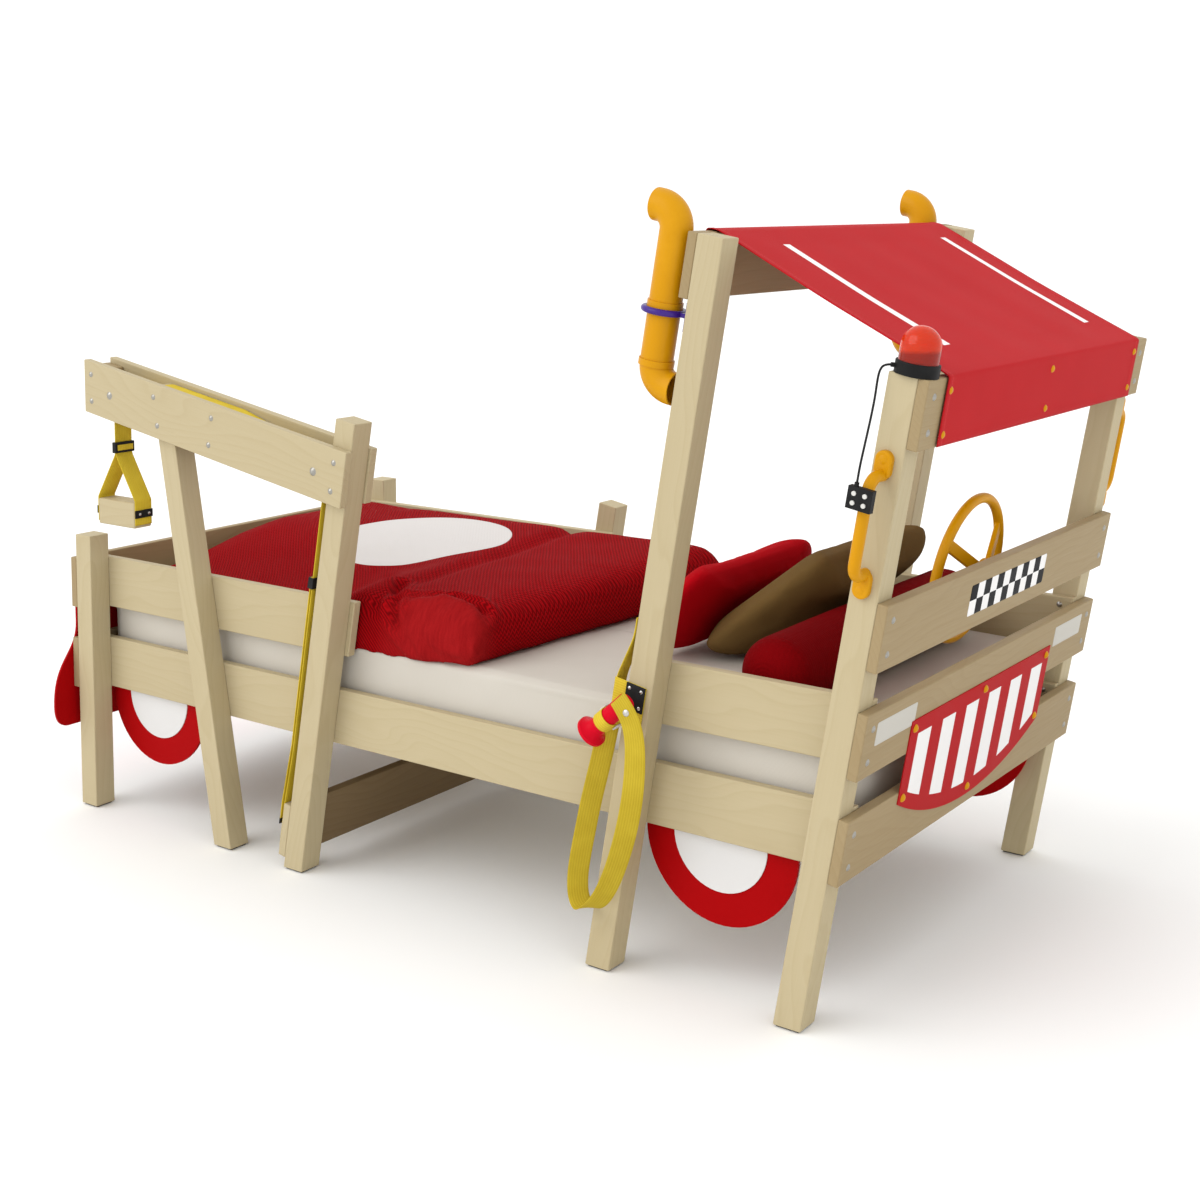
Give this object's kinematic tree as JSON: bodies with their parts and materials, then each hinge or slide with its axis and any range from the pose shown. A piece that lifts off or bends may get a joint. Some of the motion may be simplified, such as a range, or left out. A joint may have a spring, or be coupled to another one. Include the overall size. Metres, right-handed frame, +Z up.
{
  "type": "play bed",
  "caption": "Timber child's bed in the form of a tow truck, with a crane and tow load, a cab with cloth roof and steering wheel, view tubes, beacon, pull-out nozzle and bedding.",
  "frame": {"origin": "middle of the bed's outline in plan, on the floor", "axes": "+X from the foot towards the cab, +Y from the crane side to the other side, +Z up"},
  "size_m": [2.2286, 1.2, 1.4732],
  "materials": {
    "pine": "satin clear lacquer on pine",
    "steel": "satin",
    "felt": "matte felt",
    "yellow_webbing": "woven webbing",
    "black_plastic": "matte",
    "yellow_plastic": "semi-gloss",
    "blue_plastic": "semi-gloss",
    "mirror": "polished",
    "red_cloth": "smooth coated cloth",
    "red_panel": "satin paint",
    "white_panel": "satin paint",
    "red_dome": "clear red, polished",
    "lamp": "frosted",
    "cable": "matte",
    "red_nozzle": "semi-gloss",
    "white_button": "matte",
    "mattress_cover": "jersey cover",
    "red_bedding": "seersucker weave",
    "olive_bedding": "smooth cotton"
  },
  "bodies": {
    "bed": {"foot_posts": "pine", "crane_strut": "pine", "crane_mast": "pine", "far_middle_post": "pine", "rear_cab_posts": "pine", "front_cab_posts": "pine", "foot_glides": "felt", "bed_rails": "pine", "side_guards": "pine", "foot_boards": "pine", "cab_cross_boards": "pine", "floor_cross_board": "pine", "slatted_base": "pine", "crane_arm_boards": "pine", "arm_spacer_blocks": "pine", "roller_axles": "steel", "mast_cleat": "pine", "crane_webbing": "yellow_webbing", "webbing_slider": "black_plastic", "roof_cloth": "red_cloth", "grille_panel": "red_panel", "tail_panel": "red_panel", "yellow_caps": "yellow_plastic", "wheel_plates": "red_panel", "hub_discs": "white_panel", "periscope_brackets": "blue_plastic", "grab_handles": "yellow_plastic", "control_box": "black_plastic", "beacon_base": "black_plastic", "beacon_dome": "red_dome", "beacon_lamp": "lamp", "beacon_cable": "cable", "steering_bracket": "black_plastic", "nozzle_holster": "yellow_webbing", "holster_plate": "black_plastic", "hose_webbing": "yellow_webbing", "mattress": "mattress_cover", "duvet": "red_bedding", "red_pillow": "red_bedding", "olive_pillow": "olive_bedding", "red_bolster": "red_bedding", "frame_screws": "steel"},
    "steering": {"steering_wheel": "yellow_plastic"},
    "near_view_tube": {"near_periscope": "yellow_plastic", "near_periscope_mirrors": "mirror"},
    "far_view_tube": {"far_periscope": "yellow_plastic", "far_periscope_mirrors": "mirror"},
    "button_1": {"control_button_1": "white_button"},
    "button_2": {"control_button_2": "white_button"},
    "button_3": {"control_button_3": "white_button"},
    "button_4": {"control_button_4": "white_button"},
    "tow_strap": {"hanging_webbing": "yellow_webbing"},
    "tow_load": {"tow_buckle": "black_plastic", "tow_sling": "yellow_webbing", "tow_block": "pine", "tow_block_clips": "black_plastic"},
    "tip_roller": {"tip_roller": "black_plastic"},
    "mast_roller": {"mast_roller": "black_plastic"},
    "pull_nozzle": {"nozzle": "red_nozzle"}
  },
  "joints": [
    {"name": "steering_turn", "type": "hinge", "parent": "bed", "child": "steering", "pos_m": [0.9452, 0.01, 0.74057], "axis": [0.9848, 0, -0.1736], "continuous": true},
    {"name": "near_view_tube_swivel", "type": "hinge", "parent": "bed", "child": "near_view_tube", "pos_m": [0.57678, -0.495, 1.24704], "axis": [0.1736, 0, 0.9848], "range_deg": [-60, 60]},
    {"name": "far_view_tube_swivel", "type": "hinge", "parent": "bed", "child": "far_view_tube", "pos_m": [0.57678, 0.515, 1.24704], "axis": [0.1736, 0, 0.9848], "range_deg": [-60, 60]},
    {"name": "tow_swing", "type": "hinge", "parent": "bed", "child": "tow_strap", "pos_m": [-0.91918, -0.495, 1.00173], "axis": [0, 1, 0], "range_deg": [-20, 20]},
    {"name": "tow_lift", "type": "slide", "parent": "tow_strap", "child": "tow_load", "axis": [0, 0, 1], "range_m": [0, 0.045], "deforming": ["hanging_webbing"]},
    {"name": "tip_roller_turn", "type": "hinge", "parent": "bed", "child": "tip_roller", "pos_m": [-0.91918, -0.495, 1.00173], "axis": [0, 1, 0], "range_deg": [-1, 195]},
    {"name": "mast_roller_turn", "type": "hinge", "parent": "bed", "child": "mast_roller", "pos_m": [-0.26724, -0.495, 0.88678], "axis": [0, 1, 0], "range_deg": [-1, 195]},
    {"name": "nozzle_pull", "type": "slide", "parent": "bed", "child": "pull_nozzle", "axis": [-0.749, 0, -0.6626], "range_m": [0, 0.05], "deforming": ["hose_webbing"]},
    {"name": "button_1_press", "type": "slide", "parent": "bed", "child": "button_1", "axis": [0, 1, 0], "range_m": [0, 0.0015], "stiffness_N_per_m": 300, "springref_m": -0.002},
    {"name": "button_2_press", "type": "slide", "parent": "bed", "child": "button_2", "axis": [0, 1, 0], "range_m": [0, 0.0015], "stiffness_N_per_m": 300, "springref_m": -0.002},
    {"name": "button_3_press", "type": "slide", "parent": "bed", "child": "button_3", "axis": [0, 1, 0], "range_m": [0, 0.0015], "stiffness_N_per_m": 300, "springref_m": -0.002},
    {"name": "button_4_press", "type": "slide", "parent": "bed", "child": "button_4", "axis": [0, 1, 0], "range_m": [0, 0.0015], "stiffness_N_per_m": 300, "springref_m": -0.002}
  ],
  "couplings": [
    {"joint": "tip_roller_turn", "follows": "tow_lift", "rad_per_m": 75.188},
    {"joint": "mast_roller_turn", "follows": "tow_lift", "rad_per_m": 75.188}
  ]
}
